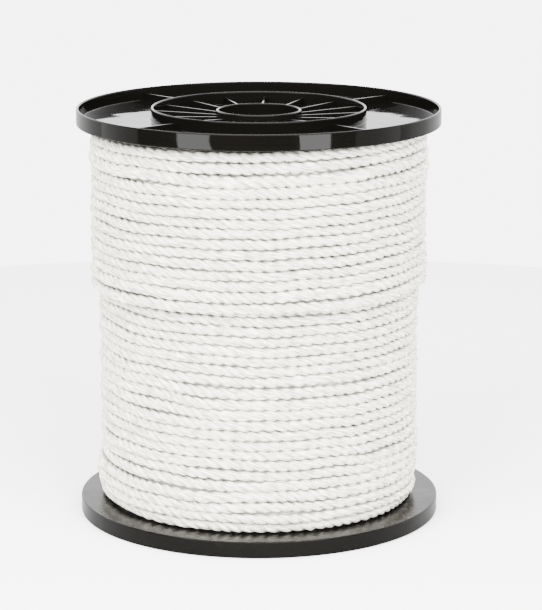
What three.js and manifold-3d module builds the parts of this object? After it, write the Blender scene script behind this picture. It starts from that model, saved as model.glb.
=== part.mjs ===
import * as THREE from 'three';
import { mergeVertices } from 'three/addons/utils/BufferGeometryUtils.js';
import Module from 'manifold-3d';

// A reel of electric fence rope, standing on its lower flange. Millimetres, +Z up, spool axis on Z.

const spoolHeight = 261;
const jointHeight = spoolHeight / 2;
const roundSegments = 48;

// Flange: rim, web and inner ring, measured from the floor of the lower half.
const flangeRadius = 115;
const rimWall = 2.4;
const rimEdge = 1.2;
const webOuterFace = 8;
const webInnerFace = 10.3;
const ringRadius = 68;
const ringWall = 2.4;

// Hub sleeve that takes the spindle, and the barrel that carries the rope.
const boreRadius = 25.2;
const sleeveRadius = 27.6;
const sleeveSetBack = 1.8;
const barrelRadius = 40;
const barrelWall = 2.4;

// Ribs standing on the outer face of the web.
const outerRibCount = 4;
const outerRibWidth = 1.8;
const outerRibSetBack = 3.5;
const innerRibCount = 16;
const innerRibWidth = 1.6;
const innerRibSetBack = 3.1;
const innerRibHubSetBack = 5.2;
const rootDepth = 0.8;

// Rope winding: one ring solid with a rounded ridge for each visible turn.
const clearance = 0.3;
const turnCount = 38;
const ropeSegments = 36;
const grooveDepth = 1.7;
const ridgeFlat = 0.42;
const topLayerRadius = 106.4;
const lowLayerRadius = 101.6;
const bulgeRadius = 103;
const lowestTurnRadius = 97.5;
const layerStepHeight = 148;
const bulgeTopHeight = 50;
const lowestTurnTopHeight = 17;
const mergeDistance = 1e-4;

const wasm = await Module();
wasm.setup();

function plain(geometry) {
  const copy = geometry.clone();
  copy.deleteAttribute('normal');
  copy.deleteAttribute('uv');
  return mergeVertices(copy, mergeDistance);
}

function toManifold(geometry) {
  const merged = plain(geometry);
  const vertProperties = new Float32Array(merged.attributes.position.array);
  const triVerts = new Uint32Array(merged.index.array);
  return new wasm.Manifold(new wasm.Mesh({ numProp: 3, vertProperties, triVerts }));
}

function toGeometry(solid) {
  const mesh = solid.getMesh();
  const geometry = new THREE.BufferGeometry();
  geometry.setAttribute('position', new THREE.BufferAttribute(new Float32Array(mesh.vertProperties), 3));
  geometry.setIndex(new THREE.BufferAttribute(new Uint32Array(mesh.triVerts), 1));
  geometry.computeVertexNormals();
  return geometry;
}

// Turns an outline of [radius, height] points about Z. The outline closes on itself.
function turned(outline, segments) {
  const points = outline.map(([radius, height]) => new THREE.Vector2(radius, height));
  points.push(points[0].clone());
  const geometry = new THREE.LatheGeometry(points, segments);
  geometry.rotateX(Math.PI / 2);
  return geometry;
}

// A rib is drawn along X in the XZ plane, given its width along Y, then turned about Z.
function rib(outline, width, angle) {
  const shape = new THREE.Shape(outline.map(([x, z]) => new THREE.Vector2(x, z)));
  const geometry = new THREE.ExtrudeGeometry(shape, { depth: width, bevelEnabled: false });
  geometry.translate(0, 0, -width / 2);
  geometry.rotateX(Math.PI / 2);
  geometry.rotateZ(angle);
  return geometry;
}

function spoolHalf() {
  const ringInner = ringRadius - ringWall;
  const rimInner = flangeRadius - rimWall;
  const body = turned([
    [boreRadius, sleeveSetBack],
    [sleeveRadius, sleeveSetBack],
    [sleeveRadius, webOuterFace],
    [ringInner, webOuterFace],
    [ringInner, 0],
    [ringRadius, 0],
    [ringRadius, webOuterFace],
    [rimInner, webOuterFace],
    [rimInner, 0],
    [flangeRadius - rimEdge, 0],
    [flangeRadius, rimEdge],
    [flangeRadius, webInnerFace - rimEdge],
    [flangeRadius - rimEdge, webInnerFace],
    [barrelRadius, webInnerFace],
    [barrelRadius, jointHeight],
    [barrelRadius - barrelWall, jointHeight],
    [barrelRadius - barrelWall, webInnerFace],
    [sleeveRadius, webInnerFace],
    [sleeveRadius, jointHeight],
    [boreRadius, jointHeight],
  ], roundSegments);
  let solid = toManifold(body);
  const ribRoot = webOuterFace + rootDepth;
  const outerRib = [
    [ringRadius - rootDepth, outerRibSetBack],
    [rimInner + rootDepth, outerRibSetBack],
    [rimInner + rootDepth, ribRoot],
    [ringRadius - rootDepth, ribRoot],
  ];
  for (let i = 0; i < outerRibCount; i += 1) {
    const angle = (2 * Math.PI * (i + 0.5)) / outerRibCount;
    solid = solid.add(toManifold(rib(outerRib, outerRibWidth, angle)));
  }
  const innerRib = [
    [sleeveRadius - rootDepth, innerRibHubSetBack],
    [ringInner + rootDepth, innerRibSetBack],
    [ringInner + rootDepth, ribRoot],
    [sleeveRadius - rootDepth, ribRoot],
  ];
  for (let i = 0; i < innerRibCount; i += 1) {
    const angle = (2 * Math.PI * i) / innerRibCount;
    solid = solid.add(toManifold(rib(innerRib, innerRibWidth, angle)));
  }
  return toGeometry(solid);
}

// Radius over the ridges at a given height. The outermost layer stops part way down the spool.
function windingRadius(height) {
  if (height > layerStepHeight) return topLayerRadius;
  if (height > bulgeTopHeight) return lowLayerRadius;
  if (height > lowestTurnTopHeight) return bulgeRadius;
  return lowestTurnRadius;
}

function ropeWinding() {
  const bottom = webInnerFace + clearance;
  const top = spoolHeight - webInnerFace - clearance;
  const pitch = (top - bottom) / turnCount;
  const bore = barrelRadius + clearance;
  const outline = [[bore, bottom]];
  for (let turn = 0; turn < turnCount; turn += 1) {
    const low = bottom + turn * pitch;
    const radius = windingRadius(low + pitch / 2);
    const radiusBelow = windingRadius(low - pitch / 2);
    outline.push([Math.min(radius, radiusBelow) - grooveDepth, low]);
    outline.push([radius, low + (pitch * (1 - ridgeFlat)) / 2]);
    outline.push([radius, low + (pitch * (1 + ridgeFlat)) / 2]);
  }
  outline.push([topLayerRadius - grooveDepth, top]);
  outline.push([bore, top]);
  return toGeometry(toManifold(turned(outline, ropeSegments)));
}

function named(name, geometry, color, roughness) {
  const material = new THREE.MeshStandardMaterial({ color, roughness, metalness: 0 });
  const mesh = new THREE.Mesh(geometry, material);
  mesh.name = name;
  return mesh;
}

const blackPlastic = 0x1b1b1d;
const whiteRope = 0xebeae6;
const half = spoolHalf();

// The upper half is the same moulding, turned over about X.
const upper = half.clone();
upper.rotateX(Math.PI);
upper.translate(0, 0, spoolHeight);

const group = new THREE.Group();
group.name = 'electric_fence_rope';
group.add(named('spool_lower_half', half, blackPlastic, 0.2));
group.add(named('spool_upper_half', upper, blackPlastic, 0.2));
group.add(named('rope_winding', ropeWinding(), whiteRope, 0.75));

export default group;
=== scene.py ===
import math

import bmesh
import bpy
import numpy as np
from mathutils import Matrix, Vector, kdtree, noise


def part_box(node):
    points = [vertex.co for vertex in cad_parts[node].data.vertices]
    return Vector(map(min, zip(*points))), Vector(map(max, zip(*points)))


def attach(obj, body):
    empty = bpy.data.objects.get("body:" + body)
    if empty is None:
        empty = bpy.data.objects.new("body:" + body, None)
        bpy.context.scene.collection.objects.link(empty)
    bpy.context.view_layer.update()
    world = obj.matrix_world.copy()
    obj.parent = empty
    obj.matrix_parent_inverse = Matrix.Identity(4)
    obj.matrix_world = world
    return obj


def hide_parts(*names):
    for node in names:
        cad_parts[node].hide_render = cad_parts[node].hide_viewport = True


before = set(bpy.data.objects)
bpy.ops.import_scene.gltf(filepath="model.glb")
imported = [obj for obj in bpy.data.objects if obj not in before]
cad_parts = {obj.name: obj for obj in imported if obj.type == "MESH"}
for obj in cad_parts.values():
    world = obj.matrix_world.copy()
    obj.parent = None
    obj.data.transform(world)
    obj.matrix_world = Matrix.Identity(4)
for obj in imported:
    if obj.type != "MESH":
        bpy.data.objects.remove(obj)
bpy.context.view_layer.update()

mm = 0.001


# Shader numbers that Python's operators turn into Math nodes
class Number:
    def __init__(self, tree, socket):
        self.tree = tree
        self.socket = socket

    def math(self, operation, first, second=0.0):
        made = self.tree.nodes.new("ShaderNodeMath")
        made.operation = operation
        for slot, value in zip(made.inputs, (first, second)):
            if isinstance(value, Number):
                self.tree.links.new(value.socket, slot)
            else:
                slot.default_value = value
        return Number(self.tree, made.outputs[0])

    def __add__(self, other):
        return self.math("ADD", self, other)

    def __radd__(self, other):
        return self.math("ADD", other, self)

    def __sub__(self, other):
        return self.math("SUBTRACT", self, other)

    def __rsub__(self, other):
        return self.math("SUBTRACT", other, self)

    def __mul__(self, other):
        return self.math("MULTIPLY", self, other)

    def __rmul__(self, other):
        return self.math("MULTIPLY", other, self)

    def __truediv__(self, other):
        return self.math("DIVIDE", self, other)

    def __rtruediv__(self, other):
        return self.math("DIVIDE", other, self)

    def sine(self):
        return self.math("SINE", self)

    def magnitude(self):
        return self.math("ABSOLUTE", self)

    def fraction(self):
        return self.math("FRACT", self)

    def clamped(self):
        return self.math("MAXIMUM", self.math("MINIMUM", self, 1.0), 0.0)


# A node tree under construction
class NodeTree:
    def __init__(self, tree):
        self.tree = tree

    # Adds any node: its type, its settings, and the values or links of its sockets
    def node(self, kind, settings=None, sockets=None, output=0):
        made = self.tree.nodes.new(kind)
        for key, value in (settings or {}).items():
            setattr(made, key, value)
        for key, value in (sockets or {}).items():
            self.feed(made.inputs[key], value)
        return Number(self.tree, made.outputs[output])

    def feed(self, slot, value):
        if isinstance(value, Number):
            self.tree.links.new(value.socket, slot)
        else:
            slot.default_value = value

    def split(self, vector, axis):
        return self.node("ShaderNodeSeparateXYZ", None, {0: vector}, axis)

    def join(self, x, y, z):
        return self.node("ShaderNodeCombineXYZ", None, {0: x, 1: y, 2: z})

    def noise(self, vector, scale, detail=2.0, rough=0.5):
        sockets = {"Vector": vector, "Scale": scale, "Detail": detail, "Roughness": rough}
        return self.node("ShaderNodeTexNoise", None, sockets)

    def between(self, factor, first, second):
        sockets = {0: factor, 6: first, 7: second}
        return self.node("ShaderNodeMix", {"data_type": "RGBA"}, sockets, 2)


# One material under construction
class Finish(NodeTree):
    def __init__(self, name):
        self.material = bpy.data.materials.new(name)
        self.material.use_nodes = True
        super().__init__(self.material.node_tree)
        self.shader = self.tree.nodes["Principled BSDF"]

    def set(self, **sockets):
        for key, value in sockets.items():
            self.feed(self.shader.inputs[key.replace("_", " ")], value)

    def objectPlace(self):
        return self.node("ShaderNodeTexCoord", None, None, 3)

    # Distance from the spool's axis
    def distance(self, vector):
        sockets = {0: vector, 1: (1, 1, 0)}
        flat = self.node("ShaderNodeVectorMath", {"operation": "MULTIPLY"}, sockets)
        return self.node("ShaderNodeVectorMath", {"operation": "LENGTH"}, {0: flat}, 1)

    def bump(self, height, strength, distance):
        sockets = {"Height": height, "Strength": strength, "Distance": distance}
        return self.node("ShaderNodeBump", None, sockets)


# Camera at the photograph's viewing angle
cameraPlace = dict(
    azimuth=3.0,
    elevation=12.54,
    distance=1.753,
    aimHeight=0.1328,
    aimRight=0.0077,
    lens=161.7,
)


# From the object toward something at this azimuth and elevation
def directionTo(place):
    turn = math.radians(place["azimuth"])
    tilt = math.radians(place["elevation"])
    flat = math.cos(tilt)
    return Vector((math.sin(turn) * flat, -math.cos(turn) * flat, math.sin(tilt)))


def placeCamera(place):
    turn = math.radians(place["azimuth"])
    right = Vector((math.cos(turn), math.sin(turn), 0))
    back = directionTo(place)
    up = back.cross(right)
    aim = Vector((0, 0, place["aimHeight"])) + right * place["aimRight"]
    data = bpy.data.cameras.new("camera")
    data.lens = place["lens"]
    data.sensor_width = 36
    data.sensor_fit = "AUTO"
    data.clip_end = 50
    camera = bpy.data.objects.new("camera", data)
    turnTo = Matrix((right, up, back)).transposed().to_4x4()
    camera.matrix_world = Matrix.Translation(aim + back * place["distance"]) @ turnTo
    bpy.context.collection.objects.link(camera)
    bpy.context.scene.camera = camera


print("camera")
placeCamera(cameraPlace)

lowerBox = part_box("spool_lower_half")
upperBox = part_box("spool_upper_half")
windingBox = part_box("rope_winding")
floorHeight = lowerBox[0][2]
topHeight = upperBox[1][2]
jointHeight = lowerBox[1][2]

# Sizes of one spool half in millimetres, measured from the floor of the lower half
spool = dict(
    flangeRadius=lowerBox[1][0] / mm,
    rimWall=2.4,
    draft=0.7,
    rimEdge=0.8,
    ringEdge=0.8,
    smallEdge=0.4,
    webOuterFace=8.0,
    webInnerFace=10.3,
    ringRadius=68.0,
    ringWall=2.4,
    boreRadius=25.2,
    sleeveRadius=27.6,
    sleeveSetBack=1.8,
    barrelRadius=40.0,
    barrelWall=2.4,
    spinSteps=192,
    outerRibs=dict(count=4, firstAngle=45.0, width=1.8, hubSetBack=3.5, rimSetBack=3.5),
    innerRibs=dict(count=16, firstAngle=0.0, width=1.6, hubSetBack=5.2, rimSetBack=3.1),
    ribRoot=0.7,
    ribEdge=0.35,
    jointEdge=0.2,
    edgeSegments=3,
    ribSegments=2,
    sharpAngle=40,
)


def newPiece(name, mesh, node, material):
    piece = bpy.data.objects.new(name, mesh)
    bpy.context.collection.objects.link(piece)
    mesh.materials.append(material)
    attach(piece, "root")
    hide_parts(node)
    return piece


# Turns an outline about the upright axis into a closed body
def spinAround(bm, steps):
    bmesh.ops.spin(
        bm, geom=bm.edges[:], cent=(0, 0, 0), axis=(0, 0, 1), dvec=(0, 0, 0),
        angle=math.tau, steps=steps, use_merge=True, use_duplicate=False,
    )
    bmesh.ops.remove_doubles(bm, verts=bm.verts[:], dist=1e-6)
    bmesh.ops.recalc_face_normals(bm, faces=bm.faces[:])


# Each outline corner is radius, height and the size of its rounding
def addTurnedBody(bm, outline, sizes):
    corners = [bm.verts.new((radius * mm, 0, height * mm)) for radius, height, _ in outline]
    edges = [bm.edges.new(pair) for pair in zip(corners, corners[1:] + corners[:1])]
    for corner, (_, _, edge) in zip(corners, outline):
        bmesh.ops.bevel(
            bm, geom=[corner], offset=edge * mm, offset_type="OFFSET",
            segments=sizes["edgeSegments"], profile=0.5, affect="VERTICES", material=-1,
        )
    spinAround(bm, sizes["spinSteps"])


def addRibs(bm, ribs, innerRadius, outerRadius, sizes):
    root = sizes["webOuterFace"] + sizes["ribRoot"]
    inner = innerRadius - sizes["ribRoot"]
    outer = outerRadius + sizes["ribRoot"]
    for number in range(ribs["count"]):
        made = bmesh.ops.create_cube(bm, size=1)["verts"]
        for vert in made:
            setBack = ribs["hubSetBack"] if vert.co.x < 0 else ribs["rimSetBack"]
            radius = inner if vert.co.x < 0 else outer
            height = setBack if vert.co.z < 0 else root
            side = ribs["width"] * vert.co.y
            vert.co = Vector((radius, side, height)) * mm
        lowEdges = [e for e in bm.edges if all(v in made for v in e.verts)]
        lowEdges = [e for e in lowEdges if all(v.co.z < (root - 1) * mm for v in e.verts)]
        lowEdges = [e for e in lowEdges if abs(e.verts[0].co.x - e.verts[1].co.x) > mm]
        beveled = bmesh.ops.bevel(
            bm, geom=lowEdges, offset=sizes["ribEdge"] * mm, offset_type="OFFSET",
            segments=sizes["ribSegments"], profile=0.5, affect="EDGES", material=-1,
        )
        whole = set(v for v in made if v.is_valid) | set(beveled["verts"])
        angle = math.radians(ribs["firstAngle"] + 360 * number / ribs["count"])
        turn = Matrix.Rotation(angle, 3, "Z")
        bmesh.ops.rotate(bm, verts=list(whole), cent=(0, 0, 0), matrix=turn)


def makeSpoolHalf(name, node, sizes, material, turnedOver):
    small = sizes["smallEdge"]
    rimEdge = sizes["rimEdge"]
    ringEdge = sizes["ringEdge"]
    jointEdge = sizes["jointEdge"]
    ringInner = sizes["ringRadius"] - sizes["ringWall"]
    rimInner = sizes["flangeRadius"] - sizes["rimWall"]
    barrelInner = sizes["barrelRadius"] - sizes["barrelWall"]
    webOut = sizes["webOuterFace"]
    webIn = sizes["webInnerFace"]
    draft = sizes["draft"]  # the walls are this much thinner at their free ends
    joint = jointHeight / mm
    outline = [
        (sizes["boreRadius"], sizes["sleeveSetBack"], ringEdge),
        (sizes["sleeveRadius"] - draft, sizes["sleeveSetBack"], ringEdge),
        (sizes["sleeveRadius"], webOut, small),
        (ringInner, webOut, small),
        (ringInner + draft, 0, ringEdge),
        (sizes["ringRadius"], 0, ringEdge),
        (sizes["ringRadius"], webOut, small),
        (rimInner, webOut, small),
        (rimInner + draft, 0, rimEdge),
        (sizes["flangeRadius"], 0, rimEdge),
        (sizes["flangeRadius"], webIn, rimEdge),
        (sizes["barrelRadius"], webIn, small),
        (sizes["barrelRadius"], joint, jointEdge),
        (barrelInner, joint, jointEdge),
        (barrelInner, webIn, small),
        (sizes["sleeveRadius"], webIn, small),
        (sizes["sleeveRadius"], joint, jointEdge),
        (sizes["boreRadius"], joint, jointEdge),
    ]
    bm = bmesh.new()
    addTurnedBody(bm, outline, sizes)
    addRibs(bm, sizes["outerRibs"], sizes["ringRadius"], rimInner, sizes)
    addRibs(bm, sizes["innerRibs"], sizes["sleeveRadius"], ringInner, sizes)
    if turnedOver:
        turn = Matrix.Rotation(math.pi, 3, "X")
        bmesh.ops.rotate(bm, verts=bm.verts[:], cent=(0, 0, 0), matrix=turn)
        bmesh.ops.translate(bm, verts=bm.verts[:], vec=(0, 0, topHeight))
    for face in bm.faces:
        face.smooth = True
    for edge in bm.edges:
        edge.smooth = edge.calc_face_angle(0) < math.radians(sizes["sharpAngle"])
    mesh = bpy.data.meshes.new(name)
    bm.to_mesh(mesh)
    bm.free()
    piece = newPiece(name, mesh, node, material)
    evenShading = piece.modifiers.new("evenShading", "WEIGHTED_NORMAL")
    evenShading.keep_sharp = True
    return piece


# The plastic's colours, pattern scales and roughness. Its margin and heights are in millimetres.
plasticLook = dict(
    darkColor=(0.0014, 0.0013, 0.0011, 1),
    paleColor=(0.0024, 0.0022, 0.0018, 1),
    cloudScale=18,
    waveScale=30,
    scuffScale=60,
    speckScale=900,
    roughness=0.025,
    scuffRoughness=0.05,
    speckRoughness=0.01,
    dullRoughness=0.08,
    dullScuffs=0.26,
    dullMargin=0.5,
    waveHeight=0.42,
    speckHeight=0.005,
    refraction=1.2,
)


def blackPlastic(sizes, look):
    finish = Finish("black spool plastic")
    place = finish.objectPlace()
    clouds = finish.noise(place, look["cloudScale"], 3)
    specks = finish.noise(place, look["speckScale"], 2)
    scuffs = finish.noise(place, look["scuffScale"], 6, 0.7)
    waves = finish.noise(place, look["waveScale"], 2)
    color = finish.between(clouds, look["darkColor"], look["paleColor"])
    # The faces that the rope is wound between are duller than the rest
    height = finish.split(place, 2)
    fromEnd = height.math("MINIMUM", height, topHeight - height)
    onFace = (1 - (fromEnd - sizes["webInnerFace"] * mm).magnitude() / mm).clamped()
    margin = look["dullMargin"]
    inward = ((sizes["flangeRadius"] - margin) * mm - finish.distance(place)) / (margin * mm)
    dull = (onFace * 3).clamped() * inward.clamped()
    roughness = look["roughness"] + look["scuffRoughness"] * scuffs
    roughness = roughness + look["speckRoughness"] * specks
    roughness = roughness + dull * (look["dullRoughness"] + look["dullScuffs"] * scuffs)
    grain = finish.bump(waves * look["waveHeight"] + specks * look["speckHeight"], 1.0, 1 * mm)
    finish.set(Base_Color=color, Roughness=roughness, Normal=grain, IOR=look["refraction"])
    return finish.material


print("spool")
plastic = blackPlastic(spool, plasticLook)
makeSpoolHalf("spoolLowerHalf", "spool_lower_half", spool, plastic, False)
makeSpoolHalf("spoolUpperHalf", "spool_upper_half", spool, plastic, True)

# The rope: three strands laid right-handed, wound in two visible layers over a plain core.
# Heights and radii are in millimetres, and angles in degrees from +X. The rope's radius is
# over its strands. It swells by the looseSwell share of a loose turn's extra gap, over
# looseSpan turns.
rope = dict(
    radius=3.5,
    strandRadius=2.15,
    lay=22.2,
    twistWander=2.2,
    twistSpan=55.0,
    girthWander=0.12,
    girthSpan=5.0,
    looseSwell=0.4,
    looseSpan=1.2,
    sectionPoints=18,
    ringStep=1.6,
    pieceLength=5600.0,
    frontAngle=-87.0,
)

# A layer's turns are counted where they pass the front. Each loose turn is its number
# and the extra gap before it.
innerLayer = dict(
    name="ropeInnerLayer",
    radius=97.95,
    firstHeight=13.9,
    pitch=6.22,
    firstTurn=-0.35,
    lastTurn=37.1,
    direction=1,
    looseTurns=[(3, 0.9), (4, 1.1), (7, 0.7), (11, 1.0), (12, 0.7), (13, 0.7), (14, 0.7)],
    seed=3.0,
)

outerLayer = dict(
    name="ropeOuterLayer",
    radius=102.95,
    firstHeight=245.6,
    pitch=6.28,
    firstTurn=-0.25,
    lastTurn=14.7,
    direction=-1,
    looseTurns=[(2, 1.3), (3, 1.7), (13, 0.4), (14, 1.6)],
    seed=11.0,
)

# How unevenly the turns lie. A slip shifts the turns near its height where it is passed,
# and a swell pushes them out or in. The lowest turn is drawn in, least at its wide angle.
unevenness = dict(
    heightWander=0.8,
    turnWander=0.5,
    radiusWander=1.8,
    wanderSpan=26.0,
    turnFlatScale=0.7,
    turnHeightScale=4,
    slips=[
        dict(height=92, angle=-114, heightSpan=16, angleSpan=9, shift=-2.6),
        dict(height=54, angle=-48, heightSpan=13, angleSpan=8, shift=-2.8),
        dict(height=236, angle=-52, heightSpan=12, angleSpan=9, shift=2.0),
        dict(height=233, angle=-120, heightSpan=12, angleSpan=9, shift=-1.8),
        dict(height=30, angle=-100, heightSpan=14, angleSpan=10, shift=2.4),
        dict(height=70, angle=95, heightSpan=16, angleSpan=10, shift=2.6),
        dict(height=190, angle=80, heightSpan=16, angleSpan=10, shift=-2.0),
    ],
    swells=[
        dict(height=27, angle=175, heightSpan=22, angleSpan=80, rise=2.8),
        dict(height=66, angle=-105, heightSpan=12, angleSpan=50, rise=0.6),
        dict(height=232, angle=-60, heightSpan=10, angleSpan=60, rise=0.5),
    ],
    lowestTurnTop=22.0,
    lowestTurnInset=2.9,
    lowestTurnWideAngle=180.0,
    lowestTurnWideSpan=80.0,
    lowestTurnWideShare=0.7,
)


def smoothStep(value):
    value = min(1.0, max(0.0, value))
    return value * value * (3 - 2 * value)


def ropeSection(sizes):
    offset = sizes["radius"] - sizes["strandRadius"]
    points = []
    for number in range(sizes["sectionPoints"]):
        angle = math.tau * number / sizes["sectionPoints"]
        third = math.tau / 3
        across = (angle + third / 2) % third - third / 2
        reach = offset * math.cos(across)
        reach += math.sqrt(sizes["strandRadius"] ** 2 - (offset * math.sin(across)) ** 2)
        points.append((reach * mm * math.cos(angle), reach * mm * math.sin(angle)))
    return points


def lineCurve(name, points, cyclic, tilts=None, girths=None):
    curve = bpy.data.curves.new(name, "CURVE")
    curve.dimensions = "3D"
    line = curve.splines.new("POLY")
    line.points.add(len(points) - 1)
    for point, place in zip(line.points, points):
        point.co = (*place, 1)
    if tilts:
        line.points.foreach_set("tilt", tilts)
        line.points.foreach_set("radius", girths)
    line.use_cyclic_u = cyclic
    return curve


def angleBetween(first, second):
    return (first - second + 180) % 360 - 180


# A rounded hill, 1 at the middle and 0 past the span
def hill(distance, span):
    return 1 - smoothStep(abs(distance) / span)


def slipAt(height, angle, slips):
    total = 0
    for slip in slips:
        past = angleBetween(angle, slip["angle"])
        step = smoothStep((past / slip["angleSpan"] + 1) / 2) - (past + 180) / 360
        total += slip["shift"] * step * hill(height - slip["height"], slip["heightSpan"])
    return total


def swellAt(height, angle, wander):
    total = 0
    for swell in wander["swells"]:
        nearHeight = hill(height - swell["height"], swell["heightSpan"])
        nearAngle = hill(angleBetween(angle, swell["angle"]), swell["angleSpan"])
        total += swell["rise"] * nearHeight * nearAngle
    bottom = windingBox[0][2] / mm
    low = 1 - smoothStep((height - bottom) / (wander["lowestTurnTop"] - bottom))
    fromWide = angleBetween(angle, wander["lowestTurnWideAngle"])
    wide = wander["lowestTurnWideShare"] * hill(fromWide, wander["lowestTurnWideSpan"])
    return total - wander["lowestTurnInset"] * low * (1 - wide)


# The rope's centre line in one layer, one point for each ring of the tube
def layerPath(layer, sizes, wander):
    turnStep = sizes["ringStep"] / (layer["radius"] * math.tau)
    count = int((layer["lastTurn"] - layer["firstTurn"]) / turnStep)
    lowest = windingBox[0][2] / mm + sizes["radius"]
    highest = windingBox[1][2] / mm - sizes["radius"]
    points = []
    for number in range(count + 1):
        turn = layer["firstTurn"] + number * turnStep
        angle = sizes["frontAngle"] - 360 * turn
        loose = sum(extra * smoothStep(turn - at + 1) for at, extra in layer["looseTurns"])
        height = layer["firstHeight"] + layer["direction"] * (layer["pitch"] * turn + loose)
        height += slipAt(height, angle, wander["slips"])
        radius = layer["radius"] + swellAt(height, angle, wander)
        aside = math.cos(math.radians(angle))
        ahead = math.sin(math.radians(angle))
        spot = Vector((radius * aside, radius * ahead, height)) / wander["wanderSpan"]
        spot.z += layer["seed"]
        height += wander["heightWander"] * noise.noise(spot)
        # Neighbouring turns lie in and out on their own, because this changes fast with height
        flat = wander["turnFlatScale"]
        spot = Vector((spot.x * flat, spot.y * flat, spot.z * wander["turnHeightScale"]))
        height += wander["turnWander"] * noise.noise(spot)
        radius += wander["radiusWander"] * noise.noise(spot + Vector((7, 7, 7)))
        height = min(highest, max(lowest, height))
        points.append((radius * mm * aside, radius * mm * ahead, height * mm))
    return points


def sweptMesh(name, points, section, tilts, girths):
    sectionCurve = lineCurve(name + "Section", [(x, y, 0) for x, y in section], True)
    sectionObject = bpy.data.objects.new(name + "Section", sectionCurve)
    bpy.context.collection.objects.link(sectionObject)
    path = lineCurve(name + "Path", points, False, tilts, girths)
    path.twist_mode = "Z_UP"
    path.bevel_mode = "OBJECT"
    path.bevel_object = sectionObject
    path.use_fill_caps = True
    pathObject = bpy.data.objects.new(name + "Path", path)
    bpy.context.collection.objects.link(pathObject)
    bpy.context.view_layer.update()
    graph = bpy.context.evaluated_depsgraph_get()
    mesh = bpy.data.meshes.new_from_object(pathObject.evaluated_get(graph))
    mesh.name = name
    bpy.data.objects.remove(pathObject)
    bpy.data.objects.remove(sectionObject)
    bm = bmesh.new()
    bm.from_mesh(mesh)
    bmesh.ops.remove_doubles(bm, verts=bm.verts[:], dist=1e-6)
    for face in bm.faces:
        face.smooth = True
    for edge in bm.edges:
        edge.smooth = edge.calc_face_angle(0) < math.radians(65)
    bm.to_mesh(mesh)
    bm.free()
    return mesh


# The UV map's U becomes the distance along the rope in metres. V goes once round it.
def measureAlong(mesh, start, length):
    layer = mesh.uv_layers[0]
    places = np.zeros(len(mesh.loops) * 2)
    layer.uv.foreach_get("vector", places)
    places[0::2] = start + places[0::2] * length
    layer.uv.foreach_set("vector", places)


# How far each point of the tube stands out from the rope's centre line, away from the spool
def measureOutward(mesh, points):
    centres = kdtree.KDTree(len(points))
    for index, point in enumerate(points):
        centres.insert(point, index)
    centres.balance()
    outward = mesh.attributes.new("outward", "FLOAT", "POINT")
    for vert, value in zip(mesh.vertices, outward.data):
        centre = centres.find(vert.co)[0]
        value.value = vert.co.xy.length - centre.xy.length


def makeLayer(layer, sizes, wander, material):
    points = layerPath(layer, sizes, wander)
    section = ropeSection(sizes)
    tilts = []
    girths = []
    for number in range(len(points)):
        along = number * sizes["ringStep"]
        loose = noise.noise(Vector((along / sizes["twistSpan"], layer["seed"], 0)))
        thick = noise.noise(Vector((along / sizes["girthSpan"], layer["seed"], 50)))
        tilts.append(along * math.tau / sizes["lay"] + sizes["twistWander"] * loose)
        # The rope swells where its turns lie loose
        turn = layer["firstTurn"] + along / (layer["radius"] * math.tau)
        room = sum(
            extra * hill(turn - at + 0.5, sizes["looseSpan"]) for at, extra in layer["looseTurns"])
        swell = sizes["looseSwell"] * room / sizes["radius"]
        girths.append(1 + sizes["girthWander"] * thick + swell)
    perPiece = int(sizes["pieceLength"] / sizes["ringStep"])
    for number, start in enumerate(range(0, len(points) - 1, perPiece)):
        span = slice(start, start + perPiece + 1)
        part = points[span]
        name = f"{layer['name']}{number + 1}"
        mesh = sweptMesh(name, part, section, tilts[span], girths[span])
        step = sizes["ringStep"] * mm
        measureAlong(mesh, start * step, (len(part) - 1) * step)
        measureOutward(mesh, part)
        newPiece(mesh.name, mesh, "rope_winding", material)


# Fibres, in metres along and across the rope. The slant is in turns round the rope for each
# lay, measured from the strands. A point gets painted shade as its height over the rope's
# centre line falls from shadeTop to shadeEnd. The grooves between the strands get painted shade
# too.
fibres = dict(
    brightColor=(0.97, 0.945, 0.83, 1),
    greyColor=(0.32, 0.305, 0.26, 1),
    creaseShadeColor=(0.42, 0.40, 0.35, 1),
    depthShadeColor=(0.20, 0.19, 0.165, 1),
    wireColor=(0.42, 0.42, 0.42, 1),
    streakLength=0.009,
    streakWidth=0.0010,
    streakStart=0.36,
    streakContrast=4,
    hairLength=0.004,
    hairWidth=0.0003,
    slant=-0.6,
    strands=3,
    creaseShadeShare=0.12,
    creaseShadeAmount=0.2,
    shadeTop=0.0020,
    shadeEnd=0.0009,
    shadeAmount=0.85,
    wireShare=0.035,
    wireWeave=0.034,
    wireSway=0.16,
    wireAmount=0.55,
    wireGap=0.012,
    wirePatches=9,
    wireContrast=6,
    streakHeight=0.7,
    hairHeight=0.5,
    wireHeight=0.2,
    bumpHeight=0.0009,
    roughness=0.5,
    hairRoughness=0.25,
)


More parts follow.
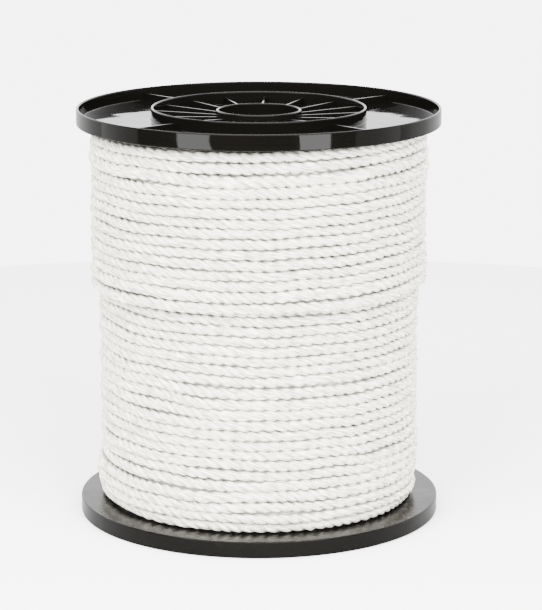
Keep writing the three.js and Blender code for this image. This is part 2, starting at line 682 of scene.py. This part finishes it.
def whiteRope(sizes, look):
    finish = Finish("white fence rope")
    place = finish.node("ShaderNodeUVMap")
    along = finish.split(place, 0)
    around = finish.split(place, 1)
    girth = math.tau * sizes["radius"] * mm
    across = (around + along * (look["slant"] / (sizes["lay"] * mm))) * girth
    streakPlace = finish.join(along / look["streakLength"], across / look["streakWidth"], 0)
    streaks = finish.noise(streakPlace, 1, 3, 0.6)
    hairPlace = finish.join(along / look["hairLength"], across / look["hairWidth"], 5)
    hairs = finish.noise(hairPlace, 1, 2, 0.6)
    # A wire sways about each groove between the strands and is out of sight in places
    weave = (along * (math.tau / look["wireWeave"])).sine() * look["wireSway"]
    lane = ((around * look["strands"] + weave).fraction() - 0.5).magnitude()
    shownPlace = finish.join(along / look["wireGap"], around * look["wirePatches"], 2)
    shown = finish.noise(shownPlace, 1, 1)
    wire = (1 - lane / look["wireShare"]).clamped()
    wire = wire * ((shown - 0.5) * look["wireContrast"]).clamped()
    bright = ((streaks - look["streakStart"]) * look["streakContrast"]).clamped()
    color = finish.between(bright, look["greyColor"], look["brightColor"])
    # Painted shade in the grooves between the strands
    creaseShade = ((around * look["strands"]).fraction() - 0.5).magnitude()
    creaseShade = (1 - creaseShade / look["creaseShadeShare"]).clamped()
    color = finish.between(creaseShade * look["creaseShadeAmount"], color, look["creaseShadeColor"])
    # Painted shade where the rope's surface lies below shadeTop over its centre line, on its sides
    # and towards the spool
    outward = finish.node("ShaderNodeAttribute", {"attribute_name": "outward"}, None, 2)
    depthShade = ((look["shadeTop"] - outward) / (look["shadeTop"] - look["shadeEnd"])).clamped()
    color = finish.between(depthShade * look["shadeAmount"], color, look["depthShadeColor"])
    color = finish.between(wire * look["wireAmount"], color, look["wireColor"])
    height = streaks * look["streakHeight"] + hairs * look["hairHeight"]
    height = height + wire * look["wireHeight"]
    normal = finish.bump(height, 1.0, look["bumpHeight"])
    roughness = look["roughness"] + hairs * look["hairRoughness"]
    finish.set(Base_Color=color, Roughness=roughness, Normal=normal)
    return finish.material


hiddenLook = dict(
    darkColor=(0.74, 0.73, 0.69, 1),
    paleColor=(0.86, 0.85, 0.81, 1),
    cloudScale=400,
    roughness=0.7,
)


def plainRope(look):
    finish = Finish("hidden rope")
    clouds = finish.noise(finish.objectPlace(), look["cloudScale"], 2)
    color = finish.between(clouds, look["darkColor"], look["paleColor"])
    finish.set(Base_Color=color, Roughness=look["roughness"])
    return finish.material


# The hidden layers, as one ring with a ridge for each turn of the layer below
ropeCore = dict(
    radius=96.2,
    ridgeHeight=1.6,
    turns=38,
    pointsPerTurn=4,
    spinSteps=128,
    clearance=0.2,
    barrelClearance=0.3,
)


def makeCore(sizes, material):
    bottom = windingBox[0][2] / mm + sizes["clearance"]
    top = windingBox[1][2] / mm - sizes["clearance"]
    count = sizes["turns"] * sizes["pointsPerTurn"]
    outline = []
    for number in range(count + 1):
        share = number / count
        ridge = abs(math.sin(math.pi * share * sizes["turns"]))
        radius = sizes["radius"] - sizes["ridgeHeight"] * (1 - ridge)
        outline.append((radius, bottom + (top - bottom) * share))
    bore = spool["barrelRadius"] + sizes["barrelClearance"]
    outline += [(bore, top), (bore, bottom)]
    bm = bmesh.new()
    corners = [bm.verts.new((radius * mm, 0, height * mm)) for radius, height in outline]
    for pair in zip(corners, corners[1:] + corners[:1]):
        bm.edges.new(pair)
    spinAround(bm, sizes["spinSteps"])
    for face in bm.faces:
        face.smooth = True
    mesh = bpy.data.meshes.new("ropeHiddenLayers")
    bm.to_mesh(mesh)
    bm.free()
    newPiece(mesh.name, mesh, "rope_winding", material)


print("rope")
ropeFinish = whiteRope(rope, fibres)
makeCore(ropeCore, plainRope(hiddenLook))
makeLayer(innerLayer, rope, unevenness, ropeFinish)
makeLayer(outerLayer, rope, unevenness, ropeFinish)

# Tabletop, surroundings and lights. Azimuth 0 is the camera's side, and a positive one is to
# its right. The fills light the object without showing in its gloss.
stage = dict(
    tableRadius=0.8,
    tableDrop=0.0002,
    lightHeight=0.13,
    tableColor=(0.93, 0.93, 0.93, 1),
    tableRoughness=0.9,
    tableGlossColor=(0.30, 0.30, 0.30, 1),
    backdropSlope=1.6,
    backdropStart=0.35,
    horizonSlope=8,
    backdropStrength=4.4,
    belowShare=0.45,
    frontStrength=0.08,
    seenStrength=6.4,
    panels=[
        dict(name="panelLeft", azimuth=-36.5, elevation=-13,
             distance=2.2, width=0.82, height=1.0, glow=19.0),
        dict(name="panelRight", azimuth=37, elevation=-13,
             distance=2.2, width=0.75, height=1.0, glow=22.0),
        dict(name="panelFarLeft", azimuth=-93, elevation=-13,
             distance=2.2, width=1.35, height=1.0, glow=1.8),
        dict(name="panelFarRight", azimuth=82, elevation=-13,
             distance=2.2, width=1.4, height=1.0, glow=1.8),
        dict(name="panelAbove", azimuth=0, elevation=50,
             distance=2.2, width=4.6, height=3.4, glow=8.0),
    ],
    fills=[
        dict(name="fillSideLeft", azimuth=-85, elevation=35,
             distance=2.4, width=1.6, height=1.6, glow=3.0),
        dict(name="fillSideRight", azimuth=88, elevation=35,
             distance=2.4, width=1.6, height=1.6, glow=4.0),
        dict(name="fillLeft", azimuth=-30, elevation=30,
             distance=2.2, width=1.4, height=1.4, glow=22.0),
        dict(name="fillRight", azimuth=30, elevation=30,
             distance=2.2, width=1.4, height=1.4, glow=22.0),
    ],
)


def makeTable(sizes):
    bm = bmesh.new()
    bmesh.ops.create_circle(bm, cap_ends=True, segments=128, radius=sizes["tableRadius"])
    bmesh.ops.translate(bm, verts=bm.verts[:], vec=(0, 0, floorHeight - sizes["tableDrop"]))
    mesh = bpy.data.meshes.new("table")
    bm.to_mesh(mesh)
    bm.free()
    table = bpy.data.objects.new("table", mesh)
    bpy.context.collection.objects.link(table)
    finish = Finish("pale table")
    mirrored = finish.node("ShaderNodeLightPath", None, None, 3)
    color = finish.between(mirrored, sizes["tableColor"], sizes["tableGlossColor"])
    finish.set(Base_Color=color, Roughness=sizes["tableRoughness"])
    mesh.materials.append(finish.material)


# A white backdrop behind the object and a dimmer room in front of it
def makeSurroundings(sizes):
    world = bpy.data.worlds.new("studio")
    bpy.context.scene.world = world
    world.use_nodes = True
    studio = NodeTree(world.node_tree)
    place = studio.node("ShaderNodeTexCoord", None, None, 0)
    behind = (studio.split(place, 1) * sizes["backdropSlope"] + sizes["backdropStart"]).clamped()
    above = (studio.split(place, 2) * sizes["horizonSlope"]).clamped()
    share = sizes["belowShare"] + above * (1 - sizes["belowShare"])
    backdropNow = sizes["backdropStrength"] * share
    strength = sizes["frontStrength"] + behind * (backdropNow - sizes["frontStrength"])
    seen = studio.node("ShaderNodeLightPath", None, None, 0)
    strength = strength + seen * (sizes["seenStrength"] - strength)
    backdrop = world.node_tree.nodes["Background"]
    backdrop.inputs["Color"].default_value = (1, 1, 1, 1)
    studio.feed(backdrop.inputs["Strength"], strength)


def placePanel(panel, height):
    back = directionTo(panel)
    light = bpy.data.lights.new(panel["name"], "AREA")
    light.shape = "RECTANGLE"
    light.size = panel["width"]
    light.size_y = panel["height"]
    light.energy = panel["glow"] * math.pi * panel["width"] * panel["height"]
    lamp = bpy.data.objects.new(panel["name"], light)
    lamp.location = back * panel["distance"] + Vector((0, 0, height))
    lamp.rotation_euler = back.to_track_quat("Z", "Y").to_euler()
    bpy.context.collection.objects.link(lamp)
    lamp.visible_camera = False
    return lamp


print("stage")
makeTable(stage)
makeSurroundings(stage)
for panel in stage["panels"]:
    placePanel(panel, stage["lightHeight"])
for panel in stage["fills"]:
    placePanel(panel, stage["lightHeight"]).visible_glossy = False
